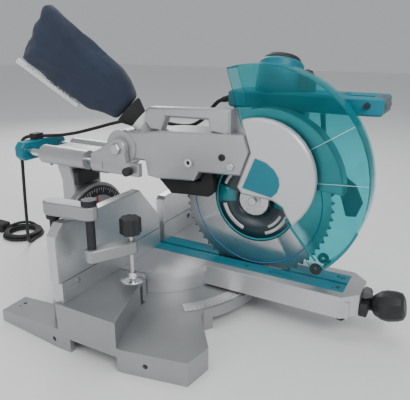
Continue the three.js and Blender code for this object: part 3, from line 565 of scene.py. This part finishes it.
INSERT = [(-229, 225), (-250, 219), (-266, 208), (-275, 194), (-277, 181), (-273, 168),
          (-263, 157), (-234, 162), (-206, 167)]
Solid().prism(INSERT, -46.0, -44.25, in_x).make("cover_insert", TEAL, "head", 0.7)


def bolt(name, place, axis, radius, height, look, body, hexagon=False, socket=True):
    """A screw head with a sunk socket, or a hexagon head."""
    axis = Vector(axis)
    profile = [(radius, 0), (radius, height * 0.8), (radius * 0.9, height)]
    if socket:
        profile += [(radius * 0.5, height), (radius * 0.5, height * 0.45)]
    Solid().turn(profile, place, axis, 6 if hexagon else 28).make(name, look, body, 0.2, 40)


bolt("cover_bolt", (-50.2, -184, 205), (-1, 0, 0), 7.5, 5, STEEL, "head", True, False)
bolt("arm_screw", (-50.2, -166, 220), (-1, 0, 0), 6.5, 3, BLACK, "head")
bolt("arm_boss", (-50.2, -97, 202.5), (-1, 0, 0), 8.5, 6, IVORY, "head")
# A thin black disc in the boss's socket: painted shade standing for the dark inside of the hole.
bolt("arm_hole_shade", (-53.2, -97, 202.5), (-1, 0, 0), 4.3, 0.3, RUBBER, "head", socket=False)
for i, (x, y) in enumerate(((-20, -390), (-20, -210), (-20, 10), (20, -390), (20, -210), (20, 10))):
    bolt(f"kerf_screw_{i}", (x, y, -0.3), (0, 0, 1), 4.2, 0.6, DARK_STEEL, "turntable")
for i, y in enumerate((238, 280)):
    bolt(f"holder_screw_{i}", (-30 + 60 * i, 285.1, 150), (0, 1, 0), 5, 3, DARK_STEEL, "bevel")

# ---------------------------------------------------------------- scales

ticks = Solid()
for i in range(-18, 19):
    a = math.radians(90 + 5 * i)
    deep = 84 if i % 3 == 0 else 90
    u, v = (math.cos(a), math.sin(a)), (-math.sin(a) * 0.7, math.cos(a) * 0.7)
    ticks.prism([(u[0] * r + v[0] * s, u[1] * r + v[1] * s)
                 for r, s in ((deep, -1), (96, -1), (96, 1), (deep, 1))], 181.1, 181.38, in_y)
ticks.make("bevel_ticks", IVORY, "lower_slide", 0)
arc_band = band(arc(0, 0, 78, 8, 172, 32), arc(0, 0, 58, 8, 172, 32))
Solid().prism(arc_band, 181.0, 181.38, in_y).make("bevel_arc", CAST, "lower_slide", 0)
Solid().prism([(-3, 52), (3, 52), (0.6, 82), (-0.6, 82)], 179.6, 180.9, in_y).make(
    "bevel_pointer", RED, "bevel", 0.2)
miter_ticks = Solid()
for i in range(-20, 21):
    a = math.radians(-90 + 2.25 * i)
    deep = 210 if i % 4 == 0 else 213.5
    u, v = (math.cos(a), math.sin(a)), (-math.sin(a) * 0.35, math.cos(a) * 0.35)
    miter_ticks.prism([(u[0] * r + v[0] * s, u[1] * r + v[1] * s)
                       for r, s in ((deep, -1), (219, -1), (219, 1), (deep, 1))],
                      -44.5, -44.3, in_z)
miter_ticks.make("miter_ticks", BLACK, "base", 0)

# ---------------------------------------------------------------- guard edges

lip = Solid()
lip.prism(band(arc(*GUARD, 207.2, 200, 229, 20), arc(*GUARD, 202.5, 200, 229, 20)),
          -23.6, -20.6, in_x)
lip.prism(band(arc(*GUARD, 99.4, 74, 228, 60), arc(*GUARD, 92.2, 74, 228, 60)),
          -24.2, -23.25, in_x)


def spoke(angle, inner, outer, half, x0, x1):
    """A straight rib on the guard's left wall, pointing away from its pivot."""
    a = math.radians(angle)
    out, side = (math.cos(a), math.sin(a)), (-math.sin(a), math.cos(a))
    corners = [(GUARD[0] + out[0] * r + side[0] * s, GUARD[1] + out[1] * r + side[1] * s)
               for r, s in ((inner, -half), (outer, -half), (outer, half), (inner, half))]
    return corners, x0, x1, in_x


lip.prism(*spoke(227.6, 95, 186, 2.0, -24.4, -23.3))
lip.make("guard_lip", EDGE_TEAL, "guard", 0.4)
# Two pale cyan ribs on the guard wall: painted highlights for the light along two creases.
crease_highlights = Solid()
for angle in (147, 176):
    crease_highlights.prism(*spoke(angle, 100, 204, 0.5, -23.7, -23.25))
crease_highlights.make("guard_crease_highlights", CREASE_HIGHLIGHT, "guard", 0)

# ---------------------------------------------------------------- dust bag

BAG_START, BAG_HEADING = Vector((-18, 50, 0)), Vector((-0.407, 0.914, 0)).normalized()
BAG_SIDE = Vector((BAG_HEADING.y, -BAG_HEADING.x, 0))
BAG_MOVE_MAX = 0.008
BAG_VOXEL = 0.0045
BAG_FRAMES = 15
BAG_PRESSURE = 3.0


def bag_point(s, z, off):
    p = BAG_START + BAG_HEADING * s + BAG_SIDE * off
    return (p.x, p.y, z)


def evaluated_copy(obj):
    graph = bpy.context.evaluated_depsgraph_get()
    return bpy.data.meshes.new_from_object(obj.evaluated_get(graph))


def blow_bag():
    """The bag's cloth: remeshed, slackened, swollen by simulation and creased."""
    mesh = NODES["dust_bag"].data.copy()
    bag = bpy.data.objects.new("bag_cloth", mesh)
    bpy.context.scene.collection.objects.link(bag)
    remesh = bag.modifiers.new("remesh", "REMESH")
    remesh.mode = "VOXEL"
    remesh.voxel_size = BAG_VOXEL
    relax = bag.modifiers.new("relax", "SMOOTH")
    relax.factor, relax.iterations = 0.6, 14
    done = evaluated_copy(bag)
    bag.modifiers.clear()
    bag.data = done
    rest = [v.co.copy() for v in done.vertices]
    cloth = bag.modifiers.new("cloth", "CLOTH")
    cloth.settings.use_pressure = True
    cloth.settings.uniform_pressure_force = BAG_PRESSURE
    cloth.settings.effector_weights.gravity = 0.0
    cloth.settings.quality = 5
    scene = bpy.context.scene
    for f in range(1, BAG_FRAMES + 1):
        scene.frame_set(f)
    moved = evaluated_copy(bag)
    bag.modifiers.clear()
    for v, was, now in zip(done.vertices, rest, moved.vertices):
        shift = now.co - was
        if shift.length > BAG_MOVE_MAX:
            shift = shift.normalized() * BAG_MOVE_MAX
        v.co = was + shift
    scene.frame_set(1)
    neck = at(*bag_point(0, 290, 0))
    heading = Vector(BAG_HEADING)
    normals = [v.normal.copy() for v in done.vertices]
    for v, n in zip(done.vertices, normals):
        p = v.co
        along = (p - neck).dot(heading)
        height = p.z - neck.z
        spread = math.atan2(height, along + 0.02)
        fold = noise.noise(Vector((spread * 9.0, along * 5.0, 3.0)))
        crush = noise.noise(p * 26.0)
        fine = noise.noise(p * 70.0)
        amount = min(1.0, max(0.0, (along - 0.02) / 0.05))
        v.co = p + n * amount * (0.0062 * fold + 0.0034 * crush + 0.0009 * fine - 0.002)
    bag.data.materials.clear()
    bag.data.materials.append(NAVY)
    bag.data.shade_smooth()
    smooth = bag.modifiers.new("subdivide", "SUBSURF")
    smooth.levels = smooth.render_levels = 1
    return bag


bag = blow_bag()
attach(bag, "head")
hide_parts("dust_bag")
strip = Solid()
strip.prism([(115, 298.5), (119.5, 290.5), (239, 379.5), (233.5, 387.2)], -4.5, 4.5,
            lambda u, v, w: bag_point(u, v, w))
strip.make("bag_strip", IVORY, "head", 0.8)
